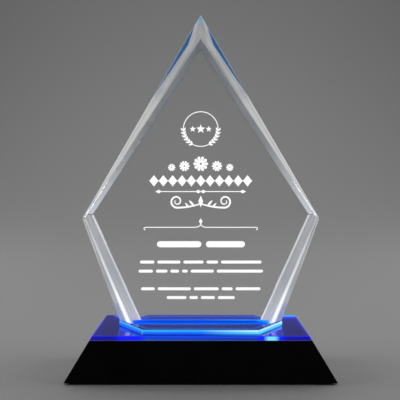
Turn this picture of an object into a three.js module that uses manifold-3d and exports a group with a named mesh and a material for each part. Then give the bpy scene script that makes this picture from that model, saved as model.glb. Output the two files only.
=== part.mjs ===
// A diamond-shaped crystal award: a clear bevelled plate bonded to a blue glass plinth and a blue
// glass slab, on a black glass base with a soft pad. Millimetres, +Z up. The front faces -Y, and the
// origin is on the surface that the award stands on, under the middle of the base.
import * as THREE from "three";
import { mergeVertices } from "three/addons/utils/BufferGeometryUtils.js";
import Module from "manifold-3d";

const wasm = await Module();
wasm.setup();

// ---------------------------------------------------------------- driving dimensions

// The stack that carries the plate, from the floor up. Its two ends lean in on one taper.
const STACK_DEPTH = 50;
const STACK_WIDTH_LOW = 170.6;
const STACK_WIDTH_HIGH = 135;
const FILM = 0.125; // each adhesive film, and the silvering under the slab
const PAD_INSET = 3;
const PAD_CORNER = 4;
const Z = {
  floor: 0,
  padTop: 1,
  baseTop: 27.5,
  slabTop: 30.5,
  plinthTop: 33.25,
};

// The plinth is a long hexagon with its points at the two ends.
const PLINTH_HALF_LENGTH = 54.6;
const PLINTH_HALF_FRONT = 36.7;
const PLINTH_HALF_DEPTH = 21.3;

// The plate: its outline, and the smaller flat faces that the bevels leave at the front and the back.
// Each is given by its top point, its right shoulder and the half width of its foot.
const PLATE_THICKNESS = 18;
const OUTLINE = { apexZ: 238.3, shoulder: [77.6, 101.8], footX: 54.1 };
const FRONT_FACE = { apexZ: 219.3, shoulder: [75.6, 103.3], footX: 43.6 };
const BACK_FACE = { apexZ: 215.3, shoulder: [72.5, 104.1], footX: 40.1 };
const FRONT_BEVEL_DEG = 45;
const BACK_BEVEL_DEG = 25;

// The white fill of the engraved marks stands on the front face.
const FILL = 0.125;
const HAIRLINE = 0.55;
const WREATH = { z: 160.5, radius: 11.3, leafPairs: 6, leafLength: 2.9, leafWidth: 1.1 };
const STARS = [
  { name: "left", x: -5.2, radius: 2.1 },
  { name: "centre", x: 0, radius: 3.1 },
  { name: "right", x: 5.2, radius: 2.1 },
];
const ROSETTES = [
  { name: "far_left", x: -18.9, z: 135.5, radius: 2.5 },
  { name: "left", x: -10.6, z: 136.4, radius: 3.5 },
  { name: "centre", x: 0, z: 137.9, radius: 5 },
  { name: "right", x: 10.6, z: 136.4, radius: 3.5 },
  { name: "far_right", x: 18.9, z: 135.5, radius: 2.5 },
];
const FRIEZE = { z: 126.8, halfLength: 33.5, lozenges: 11, halfHeight: 3.7 };
const RULE = { z: 119.8, halfLength: 29.4, beadHalfWidth: 1.5, beadHalfHeight: 1.2 };
const SCROLL = { z: 113.4, eyeX: 15.6, radius: 4.1, eyeRadius: 1, turns: 1.35, width: 1.2 };
const DIVIDER = { z: 96.5, halfLength: 36.2, rise: 2, hook: 0.75, lozengeHalfHeight: 1.95 };
const NAME_BARS = { z: 85.5, height: 4, ends: [[-28.5, 0.4], [3.4, 28.8]] };
const WORDS = {
  height: 1.9,
  gap: 1.9,
  lines: [
    { z: 73.9, halfLength: 39.6, weights: [4, 7, 6, 3, 13] },
    { z: 68, halfLength: 40.5, weights: [4, 3, 2, 1, 7, 15] },
    { z: 56.5, halfLength: 38.9, weights: [4, 11, 8, 3, 8] },
    { z: 50.8, halfLength: 22.2, weights: [6, 2, 4, 5] },
  ],
};

const FINISHES = {
  crystal: { color: 0xeaf2f5, roughness: 0.02, metalness: 0 },
  blueGlass: { color: 0x1a2fd0, roughness: 0.03, metalness: 0 },
  blackGlass: { color: 0x030303, roughness: 0.06, metalness: 0 },
  silvering: { color: 0xb9c4e6, roughness: 0.08, metalness: 1 },
  adhesive: { color: 0xdfe8ee, roughness: 0.1, metalness: 0 },
  foam: { color: 0x101012, roughness: 0.95, metalness: 0 },
  whiteFill: { color: 0xf6f6f4, roughness: 0.7, metalness: 0 },
};

// ---------------------------------------------------------------- helpers

const award = new THREE.Group();

function addPiece(name, geometry, finish) {
  const mesh = new THREE.Mesh(geometry, new THREE.MeshStandardMaterial(FINISHES[finish]));
  mesh.name = name;
  award.add(mesh);
  return mesh;
}

function solidFrom(geometry) {
  const bare = geometry.clone();
  bare.deleteAttribute("normal");
  bare.deleteAttribute("uv");
  const merged = mergeVertices(bare);
  return new wasm.Manifold(
    new wasm.Mesh({
      numProp: 3,
      vertProperties: new Float32Array(merged.attributes.position.array),
      triVerts: new Uint32Array(merged.index.array),
    }),
  );
}

function geometryFrom(solid) {
  const mesh = solid.getMesh();
  const geometry = new THREE.BufferGeometry();
  geometry.setAttribute("position", new THREE.BufferAttribute(mesh.vertProperties, 3));
  geometry.setIndex(new THREE.BufferAttribute(mesh.triVerts, 1));
  geometry.computeVertexNormals();
  return geometry;
}

function joined(geometries) {
  const solid = geometries.map(solidFrom).reduce((sum, next) => sum.add(next));
  return geometryFrom(solid);
}

function polygon(points) {
  return new THREE.Shape(points.map(([a, b]) => new THREE.Vector2(a, b)));
}

// A shape drawn in plan, X by Y, and raised from zLow to zHigh.
function raised(shape, zLow, zHigh) {
  const geometry = new THREE.ExtrudeGeometry(shape, {
    depth: zHigh - zLow,
    bevelEnabled: false,
    curveSegments: 6,
  });
  return geometry.translate(0, 0, zLow);
}

// A shape drawn in front elevation, X by Z, and carried back from yFront by thickness.
function carriedBack(shape, yFront, thickness, curveSegments = 6) {
  const geometry = new THREE.ExtrudeGeometry(shape, {
    depth: thickness,
    bevelEnabled: false,
    curveSegments,
  });
  return geometry.rotateX(Math.PI / 2).translate(0, yFront + thickness, 0);
}

// ---------------------------------------------------------------- base, slab and pad

function stackHalfWidth(z) {
  const share = (z - Z.padTop) / (Z.slabTop - Z.padTop);
  return THREE.MathUtils.lerp(STACK_WIDTH_LOW, STACK_WIDTH_HIGH, share) / 2;
}

function stackLayer(zLow, zHigh) {
  const low = stackHalfWidth(zLow);
  const high = stackHalfWidth(zHigh);
  const end = polygon([[-low, zLow], [low, zLow], [high, zHigh], [-high, zHigh]]);
  return carriedBack(end, -STACK_DEPTH / 2, STACK_DEPTH);
}

function roundedRectangle(halfWidth, halfDepth, radius) {
  const x = halfWidth - radius;
  const y = halfDepth - radius;
  const shape = new THREE.Shape();
  shape.absarc(x, y, radius, 0, Math.PI / 2);
  shape.absarc(-x, y, radius, Math.PI / 2, Math.PI);
  shape.absarc(-x, -y, radius, Math.PI, 1.5 * Math.PI);
  shape.absarc(x, -y, radius, 1.5 * Math.PI, 2 * Math.PI);
  return shape;
}

function buildStack() {
  const padHalfWidth = stackHalfWidth(Z.padTop) - PAD_INSET;
  const padShape = roundedRectangle(padHalfWidth, STACK_DEPTH / 2 - PAD_INSET, PAD_CORNER);
  addPiece("foam_pad", raised(padShape, Z.floor, Z.padTop), "foam");
  addPiece("black_base", stackLayer(Z.padTop, Z.baseTop), "blackGlass");
  addPiece("slab_bond", stackLayer(Z.baseTop, Z.baseTop + FILM), "adhesive");
  addPiece("slab_silvering", stackLayer(Z.baseTop + FILM, Z.baseTop + 2 * FILM), "silvering");
  addPiece("blue_slab", stackLayer(Z.baseTop + 2 * FILM, Z.slabTop), "blueGlass");
}

function buildPlinth() {
  const hexagon = polygon([
    [-PLINTH_HALF_FRONT, -PLINTH_HALF_DEPTH],
    [PLINTH_HALF_FRONT, -PLINTH_HALF_DEPTH],
    [PLINTH_HALF_LENGTH, 0],
    [PLINTH_HALF_FRONT, PLINTH_HALF_DEPTH],
    [-PLINTH_HALF_FRONT, PLINTH_HALF_DEPTH],
    [-PLINTH_HALF_LENGTH, 0],
  ]);
  addPiece("plinth_bond", raised(hexagon, Z.slabTop, Z.slabTop + FILM), "adhesive");
  addPiece("blue_plinth", raised(hexagon, Z.slabTop + FILM, Z.plinthTop), "blueGlass");
}

// ---------------------------------------------------------------- the crystal plate

const PLATE_FRONT_Y = -PLATE_THICKNESS / 2;

function faceCorners({ apexZ, shoulder, footX }) {
  const [x, z] = shoulder;
  return [[-footX, Z.plinthTop], [footX, Z.plinthTop], [x, z], [0, apexZ], [-x, z]];
}

// A block that covers everything outside the bevel plane. The plane holds the edge from a to b of a
// flat face at y = faceY, and leans away from that face by bevelDeg.
function bevelCutter([ax, az], [bx, bz], faceY, bevelDeg) {
  const reach = 400;
  const lean = THREE.MathUtils.degToRad(bevelDeg);
  const outward = new THREE.Vector3(bz - az, 0, ax - bx).normalize();
  const normal = outward.multiplyScalar(Math.sin(lean));
  normal.y = Math.sign(faceY) * Math.cos(lean);
  const turn = new THREE.Quaternion().setFromUnitVectors(new THREE.Vector3(0, 0, 1), normal);
  const block = new THREE.BoxGeometry(reach, reach, reach).translate(0, 0, reach / 2);
  return block.applyQuaternion(turn).translate((ax + bx) / 2, faceY, (az + bz) / 2);
}

function cutBevels(stock, face, faceY, bevelDeg) {
  const corners = faceCorners(face);
  let solid = stock;
  // The foot, between the first two corners, stays square for the bond.
  for (let i = 1; i < corners.length; i++) {
    const next = corners[(i + 1) % corners.length];
    solid = solid.subtract(solidFrom(bevelCutter(corners[i], next, faceY, bevelDeg)));
  }
  return solid;
}

function buildPlate() {
  const outline = polygon(faceCorners(OUTLINE));
  const stock = solidFrom(carriedBack(outline, PLATE_FRONT_Y, PLATE_THICKNESS));
  const frontCut = cutBevels(stock, FRONT_FACE, PLATE_FRONT_Y, FRONT_BEVEL_DEG);
  const bevelled = cutBevels(frontCut, BACK_FACE, -PLATE_FRONT_Y, BACK_BEVEL_DEG);
  // The lowest layer of the plate's shape is the adhesive film under it.
  const room = 4 * OUTLINE.footX;
  const filmZone = new THREE.BoxGeometry(room, room, 2 * FILM).translate(0, 0, Z.plinthTop);
  addPiece("plate_bond", geometryFrom(bevelled.intersect(solidFrom(filmZone))), "adhesive");
  addPiece("crystal_plate", geometryFrom(bevelled.subtract(solidFrom(filmZone))), "crystal");
}

// ---------------------------------------------------------------- outlines of the marks

function fillOf(shape, curveSegments) {
  return carriedBack(shape, PLATE_FRONT_Y - FILL, FILL, curveSegments);
}

function ringShape(x, z, radius, width) {
  const shape = new THREE.Shape();
  shape.absarc(x, z, radius + width / 2, 0, 2 * Math.PI);
  const hole = new THREE.Path();
  hole.absarc(x, z, radius - width / 2, 0, 2 * Math.PI, true);
  shape.holes.push(hole);
  return shape;
}

function leafShape(x, z, angle, length, width) {
  const along = new THREE.Vector2(Math.cos(angle), Math.sin(angle));
  const across = new THREE.Vector2(-along.y, along.x);
  const base = new THREE.Vector2(x, z);
  const tip = base.clone().addScaledVector(along, length);
  const middle = base.clone().addScaledVector(along, length * 0.45);
  const left = middle.clone().addScaledVector(across, width);
  const right = middle.clone().addScaledVector(across, -width);
  const shape = new THREE.Shape();
  shape.moveTo(base.x, base.y);
  shape.quadraticCurveTo(right.x, right.y, tip.x, tip.y);
  shape.quadraticCurveTo(left.x, left.y, base.x, base.y);
  return shape;
}

function starShape(x, z, radius) {
  const points = [];
  for (let i = 0; i < 10; i++) {
    const angle = Math.PI / 2 + (i * Math.PI) / 5;
    const reach = i % 2 ? radius * 0.42 : radius;
    points.push([x + reach * Math.cos(angle), z + reach * Math.sin(angle)]);
  }
  return polygon(points);
}

function rosetteShape(x, z, radius) {
  const petals = 10;
  const pitch = (2 * Math.PI) / petals;
  const at = (reach, angle) => [
    x + radius * reach * Math.cos(angle),
    z + radius * reach * Math.sin(angle),
  ];
  const shape = new THREE.Shape();
  shape.moveTo(...at(0.3, -pitch / 2));
  for (let i = 0; i < petals; i++) {
    const middle = i * pitch;
    shape.lineTo(...at(0.84, middle - pitch * 0.4));
    shape.quadraticCurveTo(...at(1.14, middle), ...at(0.84, middle + pitch * 0.4));
    shape.lineTo(...at(0.3, middle + pitch / 2));
  }
  const eye = new THREE.Path();
  eye.absarc(x, z, radius * 0.15, 0, 2 * Math.PI, true);
  shape.holes.push(eye);
  return shape;
}

// A straight line at height z that swells to a lozenge at each bead.
function beadedLine(z, halfLength, halfWeight, beads) {
  const upper = [[-halfLength, halfWeight]];
  for (const { x, halfWidth, halfHeight } of beads) {
    upper.push([x - halfWidth, halfWeight], [x, halfHeight], [x + halfWidth, halfWeight]);
  }
  upper.push([halfLength, halfWeight]);
  const lower = upper.map(([px, rise]) => [px, -rise]).reverse();
  return polygon([...upper, ...lower].reverse().map(([px, rise]) => [px, z + rise]));
}

// A band along the points of a centre line. widthAt gives its width from the start, 0, to the end, 1.
function ribbonShape(points, widthAt) {
  const left = [];
  const right = [];
  points.forEach((point, i) => {
    const before = points[Math.max(i - 1, 0)];
    const after = points[Math.min(i + 1, points.length - 1)];
    const along = after.clone().sub(before).normalize();
    const half = widthAt(i / (points.length - 1)) / 2;
    left.push([point.x - along.y * half, point.y + along.x * half]);
    right.push([point.x + along.y * half, point.y - along.x * half]);
  });
  return polygon([...right, ...left.reverse()]);
}

function mirrored(points) {
  return points.map((point) => new THREE.Vector2(-point.x, point.y)).reverse();
}

function barShape(xLow, xHigh, z, height) {
  const radius = height / 2;
  const shape = new THREE.Shape();
  shape.absarc(xHigh - radius, z, radius, -Math.PI / 2, Math.PI / 2);
  shape.absarc(xLow + radius, z, radius, Math.PI / 2, 1.5 * Math.PI);
  return shape;
}

// ---------------------------------------------------------------- the marks

function buildWreath() {
  const { z, radius, leafPairs, leafLength, leafWidth } = WREATH;
  const shapes = [ringShape(0, z, radius, HAIRLINE)];
  for (const side of [-1, 1]) {
    for (let i = 0; i < leafPairs; i++) {
      // Leaves climb each side of the ring from low on it to its middle, in and out by turns.
      const turn = THREE.MathUtils.degToRad(-62 + i * 11);
      const x = side * radius * Math.cos(turn);
      const climb = side > 0 ? turn + Math.PI / 2 : Math.PI / 2 - turn;
      for (const splay of [-0.62, 0.62]) {
        const height = z + radius * Math.sin(turn);
        shapes.push(leafShape(x, height, climb + splay, leafLength, leafWidth));
      }
    }
  }
  const geometries = shapes.map((shape, i) => fillOf(shape, i === 0 ? 24 : 3));
  addPiece("mark_wreath", joined(geometries), "whiteFill");
}

function buildStarsAndRosettes() {
  for (const { name, x, radius } of STARS) {
    addPiece("mark_star_" + name, fillOf(starShape(x, WREATH.z, radius)), "whiteFill");
  }
  for (const { name, x, z, radius } of ROSETTES) {
    addPiece("mark_rosette_" + name, fillOf(rosetteShape(x, z, radius), 4), "whiteFill");
  }
}

function buildFriezeAndRule() {
  const pitch = (2 * FRIEZE.halfLength) / FRIEZE.lozenges;
  const lozenges = [];
  for (let i = 0; i < FRIEZE.lozenges; i++) {
    const x = -FRIEZE.halfLength + pitch * (i + 0.5);
    lozenges.push({ x, halfWidth: pitch * 0.45, halfHeight: FRIEZE.halfHeight });
  }
  const frieze = beadedLine(FRIEZE.z, FRIEZE.halfLength, HAIRLINE / 2, lozenges);
  addPiece("mark_frieze", fillOf(frieze), "whiteFill");

  const { z, halfLength, beadHalfWidth, beadHalfHeight } = RULE;
  const end = halfLength - beadHalfWidth - HAIRLINE;
  const beads = [-end, -beadHalfWidth * 1.1, beadHalfWidth * 1.1, end].map((x) => ({
    x,
    halfWidth: beadHalfWidth,
    halfHeight: beadHalfHeight,
  }));
  addPiece("mark_rule", fillOf(beadedLine(z, halfLength, HAIRLINE / 2, beads)), "whiteFill");
}

// One side of the ornament under the rule: a lead-in from the middle that rolls up into a spiral.
function scrollCentreLine() {
  const { z, eyeX, radius, eyeRadius, turns } = SCROLL;
  const leadIn = new THREE.QuadraticBezierCurve(
    new THREE.Vector2(0, z - radius + 2.6),
    new THREE.Vector2(eyeX * 0.5, z - radius),
    new THREE.Vector2(eyeX, z - radius),
  );
  const points = leadIn.getPoints(12);
  const steps = 36;
  for (let i = 1; i <= steps; i++) {
    const share = i / steps;
    const angle = -Math.PI / 2 + share * turns * 2 * Math.PI;
    const reach = THREE.MathUtils.lerp(radius, eyeRadius, share);
    points.push(new THREE.Vector2(eyeX + reach * Math.cos(angle), z + reach * Math.sin(angle)));
  }
  return points;
}

function buildScroll() {
  const { z, width } = SCROLL;
  const swell = (share) => width * (0.45 + 0.55 * Math.sin(Math.PI * Math.sqrt(share)));
  const right = scrollCentreLine();
  const centre = polygon([[0, z - 3.8], [1.6, z], [0, z + 3.8], [-1.6, z]]);
  const shapes = [
    centre,
    ribbonShape(right, swell),
    ribbonShape(mirrored(right), (share) => swell(1 - share)),
  ];
  for (const side of [-1, 1]) {
    const lean = Math.PI / 2 - side * 0.75;
    shapes.push(leafShape(side * 4.2, z - 3, lean, 5.2, 1.5));
    shapes.push(leafShape(side * 7.6, z - 3.8, lean, 4, 1.2));
  }
  addPiece("mark_scroll", joined(shapes.map((shape) => fillOf(shape, 4))), "whiteFill");
}

function buildDivider() {
  const { z, halfLength, rise, hook, lozengeHalfHeight } = DIVIDER;
  const right = new THREE.Path();
  right.moveTo(0, z + rise);
  right.quadraticCurveTo(0.8, z, 4.5, z);
  right.lineTo(halfLength, z);
  right.absarc(halfLength, z - hook, hook, Math.PI / 2, -Math.PI * 0.6, true);
  const points = right.getPoints(7);
  const even = () => HAIRLINE;
  const top = z + rise + lozengeHalfHeight;
  const lozenge = [
    [0, top - lozengeHalfHeight - 0.3],
    [lozengeHalfHeight * 0.62, top],
    [0, top + lozengeHalfHeight],
    [-lozengeHalfHeight * 0.62, top],
  ];
  const shapes = [
    polygon(lozenge),
    ribbonShape(points, even),
    ribbonShape(mirrored(points), even),
  ];
  addPiece("mark_divider", joined(shapes.map((shape) => fillOf(shape))), "whiteFill");
}

function buildBars() {
  NAME_BARS.ends.forEach(([xLow, xHigh], i) => {
    const bar = barShape(xLow, xHigh, NAME_BARS.z, NAME_BARS.height);
    addPiece("mark_name_bar_" + (i + 1), fillOf(bar), "whiteFill");
  });
  WORDS.lines.forEach(({ z, halfLength, weights }, line) => {
    const total = weights.reduce((sum, weight) => sum + weight);
    const room = 2 * halfLength - WORDS.gap * (weights.length - 1);
    const shares = weights.map((weight) => (room * (weight + 1)) / (total + weights.length));
    let x = -halfLength;
    shares.forEach((length, word) => {
      const bar = barShape(x, x + length, z, WORDS.height);
      addPiece(`mark_line_${line + 1}_bar_${word + 1}`, fillOf(bar, 4), "whiteFill");
      x += length + WORDS.gap;
    });
  });
}

buildStack();
buildPlinth();
buildPlate();
buildWreath();
buildStarsAndRosettes();
buildFriezeAndRule();
buildScroll();
buildDivider();
buildBars();

export default award;
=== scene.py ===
"""A diamond-shaped crystal award on a blue glass plinth, slab and black base, in a plain studio."""

import math

import bmesh
import bpy
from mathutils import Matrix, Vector


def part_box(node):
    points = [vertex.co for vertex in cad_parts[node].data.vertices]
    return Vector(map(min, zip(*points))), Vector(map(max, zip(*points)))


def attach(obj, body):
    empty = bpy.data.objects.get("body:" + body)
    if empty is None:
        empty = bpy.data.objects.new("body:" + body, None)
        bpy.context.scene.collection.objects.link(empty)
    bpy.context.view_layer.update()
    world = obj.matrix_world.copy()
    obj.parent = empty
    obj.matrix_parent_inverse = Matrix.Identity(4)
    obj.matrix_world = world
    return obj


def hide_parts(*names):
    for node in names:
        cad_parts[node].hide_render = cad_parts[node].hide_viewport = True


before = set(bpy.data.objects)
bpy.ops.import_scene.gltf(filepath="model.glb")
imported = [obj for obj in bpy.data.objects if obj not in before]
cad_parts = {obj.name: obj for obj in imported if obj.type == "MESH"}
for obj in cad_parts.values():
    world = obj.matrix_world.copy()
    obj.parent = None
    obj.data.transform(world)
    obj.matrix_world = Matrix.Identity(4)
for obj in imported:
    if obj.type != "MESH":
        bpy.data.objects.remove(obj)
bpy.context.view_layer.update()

MM = 0.001
BODY = "root"
FAR = 1.0  # beyond any length on the award, and any share of a bevel
WHITE = (1.0, 1.0, 1.0)

# ---------------------------------------------------------------- fine detail of the meshes
PLATE_ARRIS = 0.35 * MM  # the small polished chamfer along the edges of the crystal
BLUE_ARRIS = 0.3 * MM
BASE_ARRIS = 0.3 * MM
FOAM_ARRIS = 0.2 * MM
SEAT = 0.02 * MM  # how far a bonded glass face reaches into its neighbour, so no air shows between
SAME_PLACE = 0.001 * MM  # points this close are one, or at the same height
ON_CUT = 0.0001 * MM  # points this close to a cut lie on it
ABOVE_FOOT = 0.01 * MM  # points below this height over a node's lowest point are its foot
SAME_FACE_ANGLE = math.radians(0.5)


def line_through(first, second):
    """A line from one point down to another: its outward normal and distance from the origin."""
    down = (Vector(second) - Vector(first)).normalized()
    normal = Vector((-down.y, down.x))
    return normal, normal.dot(Vector(first))


# ---------------------------------------------------------------- the lines of the plate
# The corners of its outline, its front face and its back face, in X and Z, on the right-hand side.
FOOT_Z = 33.38 * MM
APEX = (0.0, 238.3 * MM)
SHOULDER = (77.6 * MM, 101.8 * MM)
FOOT = (54.1 * MM, FOOT_Z)
FRONT_APEX = (0.0, 219.3 * MM)
FRONT_SHOULDER = (75.6 * MM, 103.3 * MM)
FRONT_FOOT = (43.6 * MM, FOOT_Z)
BACK_SHOULDER = (72.5 * MM, 104.1 * MM)
BACK_FOOT = (40.1 * MM, FOOT_Z)
UPPER_OUTLINE = line_through(APEX, SHOULDER)
UPPER_FRONT = line_through(FRONT_APEX, FRONT_SHOULDER)
LOWER_OUTLINE = line_through(SHOULDER, FOOT)
LOWER_FRONT = line_through(FRONT_SHOULDER, FRONT_FOOT)
LOWER_BACK = line_through(BACK_SHOULDER, BACK_FOOT)
UPPER_EDGE = math.dist(APEX, SHOULDER)
PLATE_HALF_DEPTH = 9 * MM
SOFT_EDGE = 0.3 * MM  # over which one tone gives way to the next

# ---------------------------------------------------------------- painted reflections, highlights and shade of the upper bevels
# Lengths run down the upper edge from the apex, and tones are placed by their share of it.
# The blue tip, slivers and shoulder strip are painted reflections of the blue glass below.
APEX_REFLECTION_TIP = 9 * MM
APEX_REFLECTION_FADE = 5 * MM
APEX_BLUE_REFLECTION = (0.34, 0.60, 0.80)
REFLECTION_SLIVER = (7 * MM, 23 * MM, 70 * MM)  # its start, fullest point and end
REFLECTION_SLIVER_WIDTH = 3.5 * MM
SLIVER_BLUE_REFLECTION = (0.015, 0.11, 0.34)
SHOULDER_REFLECTION = (138 * MM, 165 * MM)
SHOULDER_REFLECTION_DEPTH = (0.9 * MM, 3.0 * MM)  # how far inside the outline it lies
SHOULDER_REFLECTION_FADE = 4 * MM
SHOULDER_BLUE_REFLECTION = (0.03, 0.09, 0.52)
# Painted shade toward the apex, giving way to a painted highlight further down the edge.
UPPER_PAINTED_LIGHT = (
    (0.0, (0.72, 0.72, 0.71)),
    (0.15, (0.66, 0.66, 0.64)),
    (0.22, (0.57, 0.57, 0.55)),
    (0.29, (0.61, 0.61, 0.59)),
    (0.37, (0.70, 0.70, 0.67)),
    (0.44, (0.97, 0.97, 0.94)),
    (0.52, (1.0, 1.0, 0.98)),
    (1.0, (0.96, 0.96, 0.94)),
)
# Painted highlights and a painted glow on the upper back bevels, growing toward the shoulders.
UPPER_BACK_PAINTED_LIGHT = (
    (0.0, (0.82, 0.78, 0.74)),
    (0.5, (0.85, 0.81, 0.77)),
    (0.65, (1.0, 0.97, 0.94)),
    (1.0, WHITE),
)
UPPER_BACK_SHINE = (0.62, 1.0)  # share of the upper edge over which the back bevels grow brighter
UPPER_BACK_GLOW = (0.34, 0.34, 0.33)

# ---------------------------------------------------------------- the painted reflection streaks across the front bevels
# Each tone is placed by its share of the way from the outer edge to the inner one.
LILAC_REFLECTION = (0.56, 0.58, 0.68)
UPPER_REFLECTION_STREAKS = (
    (0.0, WHITE),
    (0.3, (0.86, 0.87, 0.88)),
    (0.6, WHITE),
    (1.0, (0.9, 0.9, 0.9)),
)
LOWER_REFLECTION_STREAKS = (
    (0.0, (0.62, 0.63, 0.64)),
    (0.42, (0.6, 0.62, 0.66)),
    (0.5, WHITE),
    (0.82, WHITE),
    (0.88, LILAC_REFLECTION),
    (1.0, LILAC_REFLECTION),
)

# ---------------------------------------------------------------- painted reflections, highlights, glow and shade of the lower bevels
# The blue in the outer streak near the foot is a painted reflection of the blue glass.
FOOT_BLUE_Z = 48 * MM  # the height below which the outer streak is blue
FOOT_BLUE_FADE = 4 * MM
FOOT_BLUE_SHARE = 0.46
FOOT_BLUE_SHARE_FADE = 0.06
FOOT_BLUE_REFLECTION = (0.25, 0.32, 0.62)
# Below this height the lower bevels carry a painted highlight, and above it painted shade.
FOOT_SHINE_Z = 58 * MM  # the height below which the lower bevels are brighter
FOOT_FRONT_FADE = 16 * MM
FOOT_BACK_FADE = 20 * MM
ABOVE_FOOT_SHADE = (0.7, 0.7, 0.7)  # of the lower front bevels above that height
# The white streaks and the bright rim are painted highlights with a painted glow.
STREAK_TOP_Z = 98 * MM  # where the white streaks of the front bevels begin
STREAK_FADE = 60 * MM
STREAK_SHARE = (0.5, 0.84)
STREAK_SHARE_FADE = 0.05
RIM_WIDTH = 0.9 * MM  # the bright rim along the outline
RIM_SOFT = 0.4 * MM
RIM_FOOT_Z = 62 * MM
RIM_FADE = 30 * MM
RIM_STRENGTH = 0.7
FRONT_GLOW = (0.5, 0.5, 0.47)
# A painted highlight line where the lower back bevels meet the flat back, and a painted glow that is
# stronger near the foot.
BACK_HIGHLIGHT_LINE = (-0.4 * MM, 1.1 * MM)  # the bright line at the flat back, across the bevel
BACK_HIGHLIGHT_STRENGTH = 0.42
LOWER_BACK_STRENGTH = 0.12  # and as much again near the foot
LOWER_BACK_GLOW = (1.0, 0.99, 0.94)

# ---------------------------------------------------------------- fine painted reflection streaks on the bevels
STREAKS_ACROSS = 620.0  # per metre
STREAKS_ALONG = 14.0
UPPER_REFLECTION_GRAIN = ((0.35, (0.88, 0.88, 0.88)), (0.6, WHITE))
LOWER_BACK_REFLECTION_GRAIN = ((0.35, (0.82, 0.82, 0.86)), (0.6, WHITE))

# ---------------------------------------------------------------- the plinth
PLINTH_CORNER = (36.7 * MM, 21.3 * MM)  # the right-hand back corner of the hexagon, in X and Y
PLINTH_TIP = (54.6 * MM, 0.0)
PLINTH_END = line_through(PLINTH_CORNER, PLINTH_TIP)
# Painted reflections of the plinth's own edges, also used as its glow colour.
PLINTH_REFLECTION_BANDS = (
    (0.0, (0.01, 0.01, 0.10)),
    (0.10, (0.01, 0.01, 0.10)),
    (0.14, (0.01, 0.22, 0.80)),
    (0.19, (0.01, 0.18, 0.70)),
    (0.25, (0.01, 0.02, 0.10)),
    (0.42, (0.01, 0.02, 0.12)),
    (0.55, (0.01, 0.06, 0.30)),
    (0.64, (0.01, 0.24, 0.80)),
    (0.70, (0.01, 0.24, 0.80)),
    (0.78, (0.01, 0.05, 0.26)),
    (1.0, (0.01, 0.05, 0.26)),
)
# Painted highlights and glow on the plinth's upright sides, paler at the top and toward the right.
PLINTH_GLOW_LEFT = ((0.35, (0.01, 0.15, 0.85)), (0.65, (0.02, 0.42, 1.0)))
PLINTH_GLOW_RIGHT = ((0.35, (0.08, 0.75, 1.0)), (0.65, (0.75, 1.0, 1.0)))
# A painted glow along the plinth's eased edges.
PLINTH_ARRIS_GLOW = (0.03, 0.5, 1.0)
# Painted glowing reflections under the plate, seen down through the crystal.
FOOT_REFLECTION_BANDS = (
    (0.0, (0.01, 0.06, 0.30)),
    (0.12, (0.01, 0.30, 1.0)),
    (0.3, (0.012, 0.20, 0.80)),
    (0.42, (0.012, 0.03, 0.16)),
    (0.78, (0.012, 0.04, 0.20)),
    (0.9, (0.012, 0.26, 0.95)),
    (1.0, (0.012, 0.20, 0.80)),
)
FOOT_REFLECTION_UNEVEN = 0.3  # how much they wander, as a share of the plate's depth
FOOT_REFLECTION_GLOW = 0.4

# ---------------------------------------------------------------- the slab
# A painted azure glow along the slab's back, standing for the reflection of the plinth's far edge.
SLAB_BACK_LIGHT_Y = (19 * MM, 40 * MM)
SLAB_BACK_LIGHT_X = (-62 * MM, 90 * MM)
SLAB_BACK_LIGHT_FADE = (4 * MM, 1.5 * MM)  # in X and Y
SLAB_BACK_GLOW = (0.012, 0.30, 0.75)
SLAB_TOP_TONES = ((0.35, (0.08, 0.10, 0.9)), (0.65, (0.10, 0.12, 1.0)))
# The slab's sides: painted reflections of the plinth as bright lengths, a painted glint, and a painted
# glow.
SLAB_MIDDLE_ENDS = (33.6 * MM, 37.6 * MM)  # from X = 0: where the lined middle fades to bright
SLAB_BRIGHT_ENDS = (49.6 * MM, 54.4 * MM)  # and where the bright lengths fade to deep blue
SLAB_MIDDLE_REFLECTIONS = ((0.38, (0.004, 0.02, 0.25)), (0.6, (0.006, 0.11, 0.65)))
SLAB_BRIGHT_REFLECTION = (0.002, 0.012, 0.92)
SLAB_DEEP = (0.003, 0.003, 0.34)
SLAB_GLINT = (39 * MM, 49 * MM)  # where the lit plinth corner shows in the slab's sides
SLAB_GLINT_FADE = 3 * MM
SLAB_GLINT_TONE = (0.25, 1.0, 1.0)
# A painted glow on the slab's eased edges, royal blue and turning azure along the back.
SLAB_BACK_EDGE_Y = 22 * MM
SLAB_BACK_EDGE_FADE = 1 * MM
ROYAL_BLUE_GLOW = (0.02, 0.03, 1.0)
AZURE_GLOW = (0.03, 0.36, 1.0)

# ---------------------------------------------------------------- the glasses
# Each is the colour that it lets through and how strongly it absorbs the rest.
CLEAR_GLASS = ((0.93, 0.97, 1.0), 1.0)
PLINTH_GLASS = ((0.0, 0.86, 0.988), 220)
SLAB_GLASS = ((0.0, 0.42, 0.985), 800)
GLASS_IOR = 1.52
SAME_IOR = 1.0  # where glass meets bonded glass

# ---------------------------------------------------------------- which face takes which material
# Each number is the place of the face's material in its piece's list of materials.
FLAT, FRONT_UPPER, FRONT_LOWER, BACK_UPPER, BACK_LOWER, ARRIS, SOFT_ARRIS, BONDED = range(8)
BLUE_LEVEL, BLUE_SIDE, BLUE_ARRIS_LINE, BLUE_BONDED = range(4)
PLATE_ARRIS_AREA = 110 * MM * MM  # smaller faces are eased edges
BLUE_ARRIS_AREA = {"plinth": 40 * MM * MM, "slab": 72 * MM * MM}
APEX_HALF_WIDTH = 1 * MM  # small faces on the middle line near the apex look like the bevels
INNER_ARRIS_Y = 8 * MM  # the eased edges beyond it border the flat faces
OVER_SHOULDER_Z = 104 * MM  # the height that parts the upper eased edges from the lower ones
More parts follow.
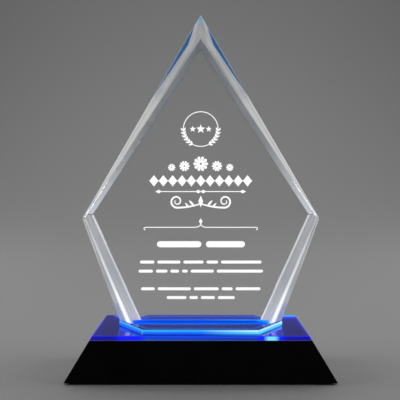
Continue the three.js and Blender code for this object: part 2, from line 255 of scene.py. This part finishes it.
# How far a face's normal leans: forward or backward for a bevel, up or down for a level face.
FRONT_LEAN = (0.3, 0.9)
BACK_LEAN = (0.3, 0.98)
LEVEL = 0.99

# ---------------------------------------------------------------- the studio, in metres
STAGE_FRONT = -3.0
STAGE_WALL = 4.2
STAGE_CURVE = 3.5
STAGE_HEIGHT = 5.0
STAGE_HALF_WIDTH = 4.0
STAGE_STEPS = 32
PAPER = (0.36, 0.36, 0.36)
WORLD_STRENGTH = 0.08
BOUNCES = 24  # light turns many times inside the glass
MIDDLE = (0, 0, 0.12)  # of the award

# name, place, target, size (width, height), radiance, what it lights, and whether it is seen
# through the crystal
LIGHTS = (
    ("top_box", (0, 1.1, 2.0), (0, 1.2, 0), (2.4, 1.6), 0.85, "all", False),
    ("wall_wash", (0, 1.2, 3.4), (0, 4.2, 1.0), (4.0, 1.0), 2.8, "all", False),
    ("side_box_left", (-1.1, 0.0, 0.6), (0, 0, 0), (0.6, 0.6), 4.9, "backdrop", False),
    ("side_box_right", (1.1, 0.0, 0.6), (0, 0, 0), (0.6, 0.6), 4.9, "backdrop", False),
    ("front_box_left", (-0.66, -0.6, 0.26), MIDDLE, (0.42, 0.36), 12.8, "award", False),
    ("front_box_right", (0.66, -0.6, 0.26), MIDDLE, (0.42, 0.36), 12.8, "award", False),
    ("card_left", (-0.46, 0.25, 0.21), MIDDLE, (0.64, 0.42), 0.6, "award", True),
    ("card_right", (0.46, 0.25, 0.21), MIDDLE, (0.64, 0.42), 0.6, "award", True),
)

CAMERA_PLACE = (-0.0004, -0.339, 0.1255)
CAMERA_TURN = (math.radians(90), 0, 0)  # level, facing +Y
CAMERA_LENS = 45.6
CAMERA_SENSOR = 36
CAMERA_SHIFT = (-0.0003, -0.043)
CAMERA_SEES = (0.01, 50)  # from and to these distances


# ---------------------------------------------------------------- materials


class Shader:
    """A new node material with one Principled shader, and short ways to add nodes to it."""

    def __init__(self, name, **values):
        self.material = bpy.data.materials.new(name)
        self.material.use_nodes = True
        self.tree = self.material.node_tree
        self.tree.nodes.clear()
        self.output = self.node("ShaderNodeOutputMaterial")
        self.surface = self.node("ShaderNodeBsdfPrincipled")
        self.link(self.surface.outputs["BSDF"], self.output.inputs["Surface"])
        for label, value in values.items():
            self.put(value, self.surface.inputs[label.replace("_", " ")])

    def node(self, kind, **settings):
        made = self.tree.nodes.new(kind)
        for label, value in settings.items():
            setattr(made, label, value)
        return made

    def link(self, source, target):
        self.tree.links.new(source, target)

    def put(self, value, socket):
        """Gives a socket a colour or a number, or links it to another node's output."""
        if isinstance(value, tuple):
            socket.default_value = (*value, 1)
        elif isinstance(value, (int, float)):
            socket.default_value = value
        else:
            self.link(value, socket)

    def math(self, operation, *values):
        made = self.node("ShaderNodeMath", operation=operation)
        for socket, value in zip(made.inputs, values):
            self.put(value, socket)
        return made.outputs[0]

    def plus(self, first, second):
        return self.math("ADD", first, second)

    def minus(self, first, second):
        return self.math("SUBTRACT", first, second)

    def product(self, first, second):
        return self.math("MULTIPLY", first, second)

    def ratio(self, first, second):
        return self.math("DIVIDE", first, second)

    def clamped(self, value):
        return self.math("MINIMUM", self.math("MAXIMUM", value, 0.0), 1.0)

    def share(self, value, low, high):
        """How far value has come from low to high: 0 at low and 1 at high."""
        return self.ratio(self.minus(value, low), high - low)

    def between(self, value, low, high, soft):
        """1 where value lies between low and high, falling to 0 over a soft edge."""
        above = self.minus(value, low)
        below = self.minus(high, value)
        return self.clamped(self.ratio(self.math("MINIMUM", above, below), soft))

    def place(self):
        """The point in the award's own frame."""
        return self.node("ShaderNodeTexCoord").outputs["Object"]

    def xyz(self):
        split = self.node("ShaderNodeSeparateXYZ")
        self.link(self.place(), split.inputs[0])
        return split.outputs["X"], split.outputs["Y"], split.outputs["Z"]

    def folded(self):
        """X and Z of the same point, with the left side folded onto the right."""
        x, _, z = self.xyz()
        return self.math("ABSOLUTE", x), z

    def along(self, direction, first, second):
        """How far a point lies along a direction, from two of its coordinates."""
        return self.plus(self.product(first, direction[0]), self.product(second, direction[1]))

    def beyond(self, line, x, z):
        """How far (x, z) lies outside a line."""
        normal, distance = line
        return self.minus(self.along(normal, x, z), distance)

    def across(self, outline, front, x, z):
        """How far (x, z) lies inside a bevel's outline, in metres and as a share of the bevel."""
        inside = self.product(self.beyond(outline, x, z), -1.0)
        outside = self.beyond(front, x, z)
        return inside, self.ratio(inside, self.plus(inside, outside))

    def noise(self, scale, stretch=(1, 1, 1)):
        mapping = self.node("ShaderNodeMapping")
        mapping.inputs["Scale"].default_value = stretch
        self.link(self.place(), mapping.inputs["Vector"])
        return self.noise_at(mapping.outputs["Vector"], scale)

    def streaks(self, across, along, stops):
        """Fine painted reflection streaks that run straight along an edge."""
        both = self.node("ShaderNodeCombineXYZ")
        self.link(self.product(across, STREAKS_ACROSS), both.inputs[0])
        self.link(self.product(along, STREAKS_ALONG), both.inputs[1])
        return self.ramp(self.noise_at(both.outputs["Vector"], 1.0), stops)

    def noise_at(self, vector, scale):
        made = self.node("ShaderNodeTexNoise")
        made.inputs["Scale"].default_value = scale
        made.inputs["Detail"].default_value = 2.0
        self.link(vector, made.inputs["Vector"])
        return made.outputs["Fac"]

    def ramp(self, factor, stops):
        made = self.node("ShaderNodeValToRGB")
        elements = made.color_ramp.elements
        while len(elements) > 1:
            elements.remove(elements[-1])
        elements[0].position = stops[0][0]
        elements[0].color = (*stops[0][1], 1)
        for position, colour in stops[1:]:
            elements.new(position).color = (*colour, 1)
        self.link(factor, made.inputs[0])
        return made.outputs["Color"]

    def mixed(self, factor, first, second, blend="MIX"):
        """From the first colour to the second, as factor goes from 0 to 1."""
        made = self.node("ShaderNodeMix", data_type="RGBA", blend_type=blend)
        self.put(factor, made.inputs[0])
        self.put(first, made.inputs[6])
        self.put(second, made.inputs[7])
        return made.outputs[2]

    def times(self, first, second):
        """Two colours multiplied."""
        return self.mixed(1.0, first, second, blend="MULTIPLY")

    def shine(self, strength, painted_tone):
        """A soft light of its own, standing for light gathered inside the glass."""
        self.put(strength, self.surface.inputs["Emission Strength"])
        self.put(painted_tone, self.surface.inputs["Emission Color"])

    def colour(self, source, glowing=False):
        self.put(source, self.surface.inputs["Base Color"])
        if glowing:
            self.put(source, self.surface.inputs["Emission Color"])

    def volume(self, tint, density):
        absorb = self.node("ShaderNodeVolumeAbsorption")
        self.put(tint, absorb.inputs["Color"])
        self.put(density, absorb.inputs["Density"])
        self.link(absorb.outputs["Volume"], self.output.inputs["Volume"])


# Below full transmission, the white base colour shows as a pale haze on the bevels, a painted
# reflection.
def clear_crystal(name, transmission, roughness=0.0):
    made = Shader(
        name,
        Base_Color=WHITE,
        Transmission_Weight=transmission,
        Roughness=roughness,
        IOR=GLASS_IOR,
    )
    made.volume(*CLEAR_GLASS)
    return made


def bonded(name, glass):
    """A face in optical contact with its neighbour: light crosses it without turning."""
    made = Shader(
        name,
        Base_Color=WHITE,
        Transmission_Weight=1.0,
        Roughness=0.0,
        IOR=SAME_IOR,
    )
    made.volume(*glass)
    return made


def lit_arris():
    """The eased outer edges, with an uneven painted glow that reads as fine bright highlight lines."""
    made = clear_crystal("crystal_arris", transmission=0.35, roughness=0.1)
    uneven = made.ramp(made.noise(scale=40), ((0.4, (0.02,) * 3), (0.65, (0.22,) * 3)))
    made.shine(uneven, WHITE)
    return made.material


def down_upper_edge(made, x, z):
    """How far a point lies from the apex, along the upper edge."""
    (nx, nz), _ = UPPER_OUTLINE
    _, apex_z = APEX
    return made.plus(made.along((nz, -nx), x, z), apex_z * nx)


def front_upper():
    """The upper front bevels: painted blue reflections at the tip, in two slivers and in a strip at
    the left shoulder, over painted shade and highlights along the edge.
    """
    made = clear_crystal("crystal_front_upper", transmission=0.5)
    x, z = made.folded()
    inside, share = made.across(UPPER_OUTLINE, UPPER_FRONT, x, z)
    along = down_upper_edge(made, x, z)
    reflection_grain = made.streaks(inside, along, UPPER_REFLECTION_GRAIN)
    # Painted shade near the apex and a painted highlight further down, then painted blue reflections.
    painted_falloff = made.ramp(made.ratio(along, UPPER_EDGE), UPPER_PAINTED_LIGHT)
    painted_tone = made.times(made.times(made.ramp(share, UPPER_REFLECTION_STREAKS), reflection_grain), painted_falloff)
    reflection_tip = made.between(along, -FAR, APEX_REFLECTION_TIP, APEX_REFLECTION_FADE)
    painted_tone = made.mixed(reflection_tip, painted_tone, APEX_BLUE_REFLECTION)

    start, fullest, end = REFLECTION_SLIVER
    swell = made.math("MINIMUM", made.share(along, start, fullest), made.share(along, end, fullest))
    width = made.product(swell, REFLECTION_SLIVER_WIDTH)
    reflection_sliver = made.clamped(made.ratio(made.minus(width, inside), SOFT_EDGE))
    painted_tone = made.mixed(reflection_sliver, painted_tone, SLIVER_BLUE_REFLECTION)

    reflection_strip = made.product(
        made.between(along, *SHOULDER_REFLECTION, SHOULDER_REFLECTION_FADE),
        made.between(inside, *SHOULDER_REFLECTION_DEPTH, SOFT_EDGE),
    )
    on_left = made.math("LESS_THAN", made.xyz()[0], 0.0)
    made.colour(made.mixed(made.product(reflection_strip, on_left), painted_tone, SHOULDER_BLUE_REFLECTION))
    return made.material


def back_upper():
    """The upper back bevels, with a painted highlight and a painted glow that grow toward the
    shoulders.
    """
    made = clear_crystal("crystal_back_upper", transmission=0.6)
    along = made.ratio(down_upper_edge(made, *made.folded()), UPPER_EDGE)
    made.colour(made.ramp(along, UPPER_BACK_PAINTED_LIGHT))
    made.shine(made.clamped(made.share(along, *UPPER_BACK_SHINE)), UPPER_BACK_GLOW)
    return made.material


def back_lower():
    """The lower back bevels end in a painted highlight line where they meet the flat back, with a
    painted glow that is stronger near the foot.
    """
    made = clear_crystal("crystal_back_lower", transmission=0.5)
    x, z = made.folded()
    across = made.beyond(LOWER_BACK, x, z)
    line = made.between(across, *BACK_HIGHLIGHT_LINE, SOFT_EDGE)
    made.colour(made.mixed(line, made.streaks(across, z, LOWER_BACK_REFLECTION_GRAIN), WHITE))
    near_foot = made.between(z, 0.0, FOOT_SHINE_Z, FOOT_BACK_FADE)
    inner = made.plus(made.product(near_foot, LOWER_BACK_STRENGTH), LOWER_BACK_STRENGTH)
    made.shine(made.plus(made.product(line, BACK_HIGHLIGHT_STRENGTH), inner), LOWER_BACK_GLOW)
    return made.material


def front_lower():
    """The lower front bevels: a painted white highlight streak, a painted highlight rim, a painted
    blue reflection in the outer part at the foot, and painted shade higher up.
    """
    made = clear_crystal("crystal_front_lower", transmission=0.8)
    x, z = made.folded()
    inside, share = made.across(LOWER_OUTLINE, LOWER_FRONT, x, z)
    near_foot = made.between(z, 0.0, FOOT_SHINE_Z, FOOT_FRONT_FADE)
    painted_shade = made.mixed(near_foot, ABOVE_FOOT_SHADE, WHITE)
    blue_reflection = made.product(
        made.between(z, 0.0, FOOT_BLUE_Z, FOOT_BLUE_FADE),
        made.between(share, -FAR, FOOT_BLUE_SHARE, FOOT_BLUE_SHARE_FADE),
    )
    painted_tone = made.times(made.ramp(share, LOWER_REFLECTION_STREAKS), painted_shade)
    made.colour(made.mixed(blue_reflection, painted_tone, FOOT_BLUE_REFLECTION))
    highlight_streak = made.product(
        made.between(z, 0.0, STREAK_TOP_Z, STREAK_FADE),
        made.between(share, *STREAK_SHARE, STREAK_SHARE_FADE),
    )
    highlight_rim = made.product(
        made.between(inside, -FAR, RIM_WIDTH, RIM_SOFT),
        made.between(z, RIM_FOOT_Z, FAR, RIM_FADE),
    )
    made.shine(made.plus(highlight_streak, made.product(highlight_rim, RIM_STRENGTH)), FRONT_GLOW)
    return made.material


def blue_glass(name, glass, transmission, glow=0.0):
    made = Shader(
        name,
        Transmission_Weight=transmission,
        Roughness=0.0,
        IOR=GLASS_IOR,
        Specular_IOR_Level=0.35,
        Emission_Strength=glow,
    )
    made.volume(*glass)
    return made


def plinth_top():
    """Painted reflections with a painted glow: bands parallel to the sides, where the glass shows its
    own edges below.
    """
    made = blue_glass("plinth_glass", PLINTH_GLASS, transmission=0.75, glow=0.16)
    x, y, _ = made.xyz()
    x = made.math("ABSOLUTE", x)
    y = made.math("ABSOLUTE", y)
    _, half_depth = PLINTH_CORNER
    normal, distance = PLINTH_END
    from_side = made.minus(half_depth, y)
    from_end = made.minus(distance, made.along(normal, x, y))
    share = made.ratio(made.math("MINIMUM", from_side, from_end), half_depth)
    made.colour(made.ramp(share, PLINTH_REFLECTION_BANDS), glowing=True)
    return made.material


def plinth_edge():
    """The upright sides carry painted highlights and a painted glow: paler along the top and toward
    the right.
    """
    made = blue_glass("plinth_edge", PLINTH_GLASS, transmission=0.5, glow=0.4)
    x, _, z = made.xyz()
    low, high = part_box("blue_plinth")
    height = made.share(z, low.z, high.z)
    left = made.ramp(height, PLINTH_GLOW_LEFT)
    right = made.ramp(height, PLINTH_GLOW_RIGHT)
    corner_x, _ = PLINTH_CORNER
    across = made.clamped(made.ratio(x, corner_x))
    made.colour(made.mixed(across, left, right), glowing=True)
    return made.material


# A painted glow along the plinth's eased edges.
def plinth_arris():
    made = blue_glass("plinth_arris", PLINTH_GLASS, transmission=0.5, glow=0.4)
    made.colour(PLINTH_ARRIS_GLOW, glowing=True)
    return made.material


def plinth_foot():
    """Under the plate: painted glowing reflection bands in azure along its length, seen down through
    the crystal.
    """
    made = bonded("plinth_bonded", PLINTH_GLASS)
    _, y, _ = made.xyz()
    depth = made.share(y, -PLATE_HALF_DEPTH, PLATE_HALF_DEPTH)
    uneven = made.product(made.noise(scale=120, stretch=(0.12, 0.12, 1.0)), FOOT_REFLECTION_UNEVEN)
    depth = made.plus(depth, made.minus(uneven, FOOT_REFLECTION_UNEVEN / 2))
    made.shine(FOOT_REFLECTION_GLOW, made.ramp(depth, FOOT_REFLECTION_BANDS))
    return made.material


def slab_level():
    """Deep blue, with a painted azure glow along the back, standing for the reflection of the plinth's
    far edge.
    """
    made = blue_glass("slab_glass", SLAB_GLASS, transmission=0.96)
    x, y, _ = made.xyz()
    made.colour(made.ramp(made.noise(scale=70), SLAB_TOP_TONES))
    x_fade, y_fade = SLAB_BACK_LIGHT_FADE
    back = made.between(y, *SLAB_BACK_LIGHT_Y, y_fade)
    across = made.between(x, *SLAB_BACK_LIGHT_X, x_fade)
    made.shine(made.product(back, across), SLAB_BACK_GLOW)
    return made.material


def slab_edge():
    """The sides of the slab, with painted reflections of the plinth as brighter lengths, a painted
    glint and a painted glow.
    """
    made = blue_glass("slab_edge", SLAB_GLASS, transmission=0.6, glow=0.35)
    x, _, _ = made.xyz()
    reach = made.math("ABSOLUTE", x)
    past_middle = made.clamped(made.share(reach, *SLAB_MIDDLE_ENDS))
    past_bright = made.clamped(made.share(reach, *SLAB_BRIGHT_ENDS))
    middle = made.ramp(made.noise(scale=260, stretch=(0.02, 0.02, 5.0)), SLAB_MIDDLE_REFLECTIONS)
    ends = made.mixed(past_bright, SLAB_BRIGHT_REFLECTION, SLAB_DEEP)
    glint = made.between(x, *SLAB_GLINT, SLAB_GLINT_FADE)
    painted_tone = made.mixed(glint, made.mixed(past_middle, middle, ends), SLAB_GLINT_TONE)
    made.colour(painted_tone, glowing=True)
    return made.material


def slab_arris():
    """The eased edges of the slab, with a painted glow: royal blue, turning azure along the back."""
    made = blue_glass("slab_arris", SLAB_GLASS, transmission=0.5, glow=0.45)
    _, y, _ = made.xyz()
    back = made.between(y, SLAB_BACK_EDGE_Y, FAR, SLAB_BACK_EDGE_FADE)
    made.colour(made.mixed(back, ROYAL_BLUE_GLOW, AZURE_GLOW), glowing=True)
    return made.material


def black_glass():
    made = Shader("black_glass", Roughness=0.05, IOR=1.5, Specular_IOR_Level=0.03)
    tones = ((0.3, (0.0006,) * 3), (0.7, (0.0012, 0.0012, 0.0014)))
    made.colour(made.ramp(made.noise(scale=60), tones))
    return made.material


def silvering():
    made = Shader("blue_silvering", Metallic=1.0, Roughness=0.1)
    tones = ((0.3, (0.60, 0.70, 0.95)), (0.7, (0.66, 0.76, 1.0)))
    made.colour(made.ramp(made.noise(scale=90), tones))
    return made.material


def rubber_foam():
    """Fine cells, darker in their middles and raised between them."""
    made = Shader("black_foam", Roughness=0.95)
    cells = made.node("ShaderNodeTexVoronoi")
    cells.inputs["Scale"].default_value = 1800
    made.link(made.place(), cells.inputs["Vector"])
    tones = ((0.1, (0.006,) * 3), (0.7, (0.022, 0.022, 0.024)))
    made.colour(made.ramp(cells.outputs["Distance"], tones))
    bump = made.node("ShaderNodeBump")
    bump.inputs["Strength"].default_value = 0.4
    bump.inputs["Distance"].default_value = 0.2 * MM
    made.link(cells.outputs["Distance"], bump.inputs["Height"])
    made.link(bump.outputs["Normal"], made.surface.inputs["Normal"])
    return made.material


def white_fill():
    made = Shader("white_fill", Roughness=0.55)
    tones = ((0.3, (0.94, 0.94, 0.93)), (0.7, (0.99, 0.99, 0.98)))
    made.colour(made.ramp(made.noise(scale=900), tones))
    return made.material


# ---------------------------------------------------------------- meshes


def eased_copy(node, low_shift, arris, ease_foot=True):
    """A CAD node as a bmesh: flat faces made whole, its foot lowered and its edges eased."""
    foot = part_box(node)[0].z + ABOVE_FOOT
    mesh = bmesh.new()
    mesh.from_mesh(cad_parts[node].data)
    bmesh.ops.remove_doubles(mesh, verts=mesh.verts, dist=SAME_PLACE)
    bmesh.ops.dissolve_limit(
        mesh, angle_limit=SAME_FACE_ANGLE, verts=mesh.verts, edges=mesh.edges
    )
    edges = [e for e in mesh.edges if ease_foot or any(v.co.z > foot for v in e.verts)]
    bmesh.ops.bevel(
        mesh, geom=edges, offset=arris, segments=1, profile=0.5, affect="EDGES", clamp_overlap=True
    )
    for vertex in mesh.verts:
        if vertex.co.z < foot:
            vertex.co.z -= low_shift
    bmesh.ops.recalc_face_normals(mesh, faces=mesh.faces)
    return mesh


def foot_outline(mesh):
    """The corners of a mesh's lowest face, in order."""
    face = min(mesh.faces, key=lambda f: f.calc_center_median().z)
    return [v.co.copy() for v in face.verts]


def part_top(mesh, outline):
    """Cuts the top face of a mesh along a convex outline; returns a test for the faces inside."""
    top = max(v.co.z for v in mesh.verts) - SAME_PLACE
    sides = [(a, b - a) for a, b in zip(outline, outline[1:] + outline[:1])]
    for corner, side in sides:
        faces = [f for f in mesh.faces if all(v.co.z > top for v in f.verts)]
        geometry = set(faces)
        for face in faces:
            geometry.update(face.edges)
            geometry.update(face.verts)
        bmesh.ops.bisect_plane(
            mesh,
            geom=list(geometry),
            dist=ON_CUT,
            plane_co=corner,
            plane_no=Vector((side.y, -side.x, 0)).normalized(),
        )

    def inside(face):
        if any(v.co.z < top for v in face.verts):
            return False
        middle = face.calc_center_median()
        turns = [s.x * (middle.y - a.y) - s.y * (middle.x - a.x) for a, s in sides]
        return all(t > 0 for t in turns) or all(t < 0 for t in turns)

    return inside


def finished(mesh, name, materials, choose=None):
    """Turns a bmesh into a piece of the award; choose(face) gives the material of each face."""
    data = bpy.data.meshes.new(name)
    if choose:
        for face in mesh.faces:
            face.material_index = choose(face)
    mesh.to_mesh(data)
    mesh.free()
    for material in materials:
        data.materials.append(material)
    piece = bpy.data.objects.new(name, data)
    bpy.context.scene.collection.objects.link(piece)
    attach(piece, BODY)
    return piece


def dress(node, material):
    """Gives a CAD node that is kept as it is its material."""
    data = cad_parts[node].data
    data.materials.clear()
    data.materials.append(material)


# ---------------------------------------------------------------- the crystal plate


def plate_face(face):
    """Which of the plate's materials a face takes."""
    normal = face.normal
    middle = face.calc_center_median()
    if normal.z < -LEVEL:
        return BONDED
    off_apex = abs(middle.x) > APEX_HALF_WIDTH or middle.z < OVER_SHOULDER_Z
    if face.calc_area() < PLATE_ARRIS_AREA and off_apex:
        # Most eased edges take the painted glow of crystal_arris. Inner ones above the shoulder or at
        # the front take crystal_soft_arris, which has none.
        inner = abs(middle.y) > INNER_ARRIS_Y
        return SOFT_ARRIS if inner and (middle.z > OVER_SHOULDER_Z or middle.y < 0) else ARRIS
    if FRONT_LEAN[0] < -normal.y < FRONT_LEAN[1]:
        return FRONT_UPPER if normal.z > 0 else FRONT_LOWER
    if BACK_LEAN[0] < normal.y < BACK_LEAN[1]:
        return BACK_UPPER if normal.z > 0 else BACK_LOWER
    return FLAT


def make_plate():
    """The plate, lowered by its film onto the plinth. Returns the outline of its foot."""
    materials = (
        clear_crystal("crystal_flat", transmission=1.0).material,
        front_upper(),
        front_lower(),
        back_upper(),
        back_lower(),
        lit_arris(),
        clear_crystal("crystal_soft_arris", transmission=0.9, roughness=0.05).material,
        bonded("crystal_bonded", CLEAR_GLASS).material,
    )
    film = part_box("plate_bond")[1].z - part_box("plate_bond")[0].z
    mesh = eased_copy("crystal_plate", film + SEAT, PLATE_ARRIS, ease_foot=False)
    outline = foot_outline(mesh)
    plate = finished(mesh, "plate", materials, plate_face)
    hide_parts("crystal_plate", "plate_bond")
    return outline


# ---------------------------------------------------------------- the blue glass and the base


def blue_piece(node, name, low_shift, outline, materials):
    """A blue glass piece, bonded on top within an outline. Returns it and its foot's outline."""
    mesh = eased_copy(node, low_shift, BLUE_ARRIS, ease_foot=False)
    foot = foot_outline(mesh)
    covered = part_top(mesh, outline)

    def choose(face):
        if covered(face) or (face.normal.z < -LEVEL and name == "plinth"):
            return BLUE_BONDED
        if abs(face.normal.z) > LEVEL:
            return BLUE_LEVEL
        return BLUE_ARRIS_LINE if face.calc_area() < BLUE_ARRIS_AREA[name] else BLUE_SIDE

    piece = finished(mesh, name, materials, choose)
    return piece, foot


def make_blue_glass(plate_foot):
    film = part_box("plinth_bond")[1].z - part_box("plinth_bond")[0].z
    plinth_materials = (plinth_top(), plinth_edge(), plinth_arris(), plinth_foot())
    plinth, foot = blue_piece("blue_plinth", "plinth", film + SEAT, plate_foot, plinth_materials)
    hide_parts("blue_plinth", "plinth_bond")
    slab_bonded = bonded("slab_bonded", SLAB_GLASS).material
    slab_materials = (slab_level(), slab_edge(), slab_arris(), slab_bonded)
    slab, _ = blue_piece("blue_slab", "slab", SEAT, foot, slab_materials)
    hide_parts("blue_slab")


def make_base():
    base = finished(eased_copy("black_base", 0, BASE_ARRIS), "base", (black_glass(),))
    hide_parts("black_base")


def make_foot_pad():
    pad = finished(eased_copy("foam_pad", 0, FOAM_ARRIS), "foot_pad", (rubber_foam(),))
    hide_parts("foam_pad")


def dress_kept_nodes():
    """The silvering, the slab's film and the marks are the CAD's own shapes."""
    dress("slab_silvering", silvering())
    dress("slab_bond", clear_crystal("clear_adhesive", transmission=1.0).material)
    fill = white_fill()
    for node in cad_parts:
        if node.startswith("mark_"):
            dress(node, fill)


# ---------------------------------------------------------------- camera, backdrop and lights


def make_camera():
    data = bpy.data.cameras.new("camera")
    data.lens = CAMERA_LENS
    data.sensor_width = CAMERA_SENSOR
    data.shift_x, data.shift_y = CAMERA_SHIFT
    data.clip_start, data.clip_end = CAMERA_SEES
    camera = bpy.data.objects.new("camera", data)
    camera.location = CAMERA_PLACE
    camera.rotation_euler = CAMERA_TURN
    bpy.context.scene.collection.objects.link(camera)
    bpy.context.scene.camera = camera


def make_stage():
    """A grey paper sweep: flat floor, a wide curve and an upright wall well behind the award."""
    profile = [(STAGE_FRONT, 0.0), (STAGE_WALL - STAGE_CURVE, 0.0)]
    for i in range(1, STAGE_STEPS + 1):
        angle = math.pi / 2 * i / STAGE_STEPS
        y = STAGE_WALL - STAGE_CURVE + STAGE_CURVE * math.sin(angle)
        z = STAGE_CURVE * (1 - math.cos(angle))
        profile.append((y, z))
    profile.append((STAGE_WALL, STAGE_HEIGHT))
    verts = []
    faces = []
    for i, (y, z) in enumerate(profile):
        verts += [(-STAGE_HALF_WIDTH, y, z), (STAGE_HALF_WIDTH, y, z)]
        if i:
            faces.append((2 * i - 2, 2 * i - 1, 2 * i + 1, 2 * i))
    data = bpy.data.meshes.new("backdrop")
    data.from_pydata(verts, [], faces)
    for polygon in data.polygons:
        polygon.use_smooth = True
    data.materials.append(Shader("backdrop_paper", Base_Color=PAPER, Roughness=0.9).material)
    backdrop = bpy.data.objects.new("backdrop", data)
    bpy.context.scene.collection.objects.link(backdrop)
    return backdrop


def area_light(name, location, target, size, radiance):
    """A rectangular light that faces its target, as bright as its radiance from any distance."""
    width, height = size
    data = bpy.data.lights.new(name, "AREA")
    data.shape = "RECTANGLE"
    data.size = width
    data.size_y = height
    data.energy = radiance * width * height * math.pi
    light = bpy.data.objects.new(name, data)
    light.location = location
    aim = Vector(target) - Vector(location)
    light.rotation_mode = "QUATERNION"
    light.rotation_quaternion = aim.to_track_quat("-Z", "Y")
    bpy.context.scene.collection.objects.link(light)
    return light


def make_lights(backdrop):
    """The world and the lights, some of which light only the backdrop or all but the backdrop."""
    receivers = {}
    for lit, state in (("backdrop", "INCLUDE"), ("award", "EXCLUDE")):
        receivers[lit] = bpy.data.collections.new(f"lights_for_{lit}")
        receivers[lit].objects.link(backdrop)
        receivers[lit].collection_objects[0].light_linking.link_state = state
    for *setting, lit, through_crystal in LIGHTS:
        light = area_light(*setting)
        light.visible_transmission = through_crystal
        if lit in receivers:
            light.light_linking.receiver_collection = receivers[lit]
    world = bpy.data.worlds.new("studio")
    world.use_nodes = True
    background = world.node_tree.nodes["Background"]
    background.inputs["Color"].default_value = (*WHITE, 1)
    background.inputs["Strength"].default_value = WORLD_STRENGTH
    bpy.context.scene.world = world


make_blue_glass(make_plate())
make_base()
make_foot_pad()
dress_kept_nodes()
make_camera()
make_lights(make_stage())
scene = bpy.context.scene
scene.view_settings.view_transform = "Standard"
scene.cycles.max_bounces = BOUNCES
scene.cycles.transmission_bounces = BOUNCES
scene.cycles.glossy_bounces = BOUNCES
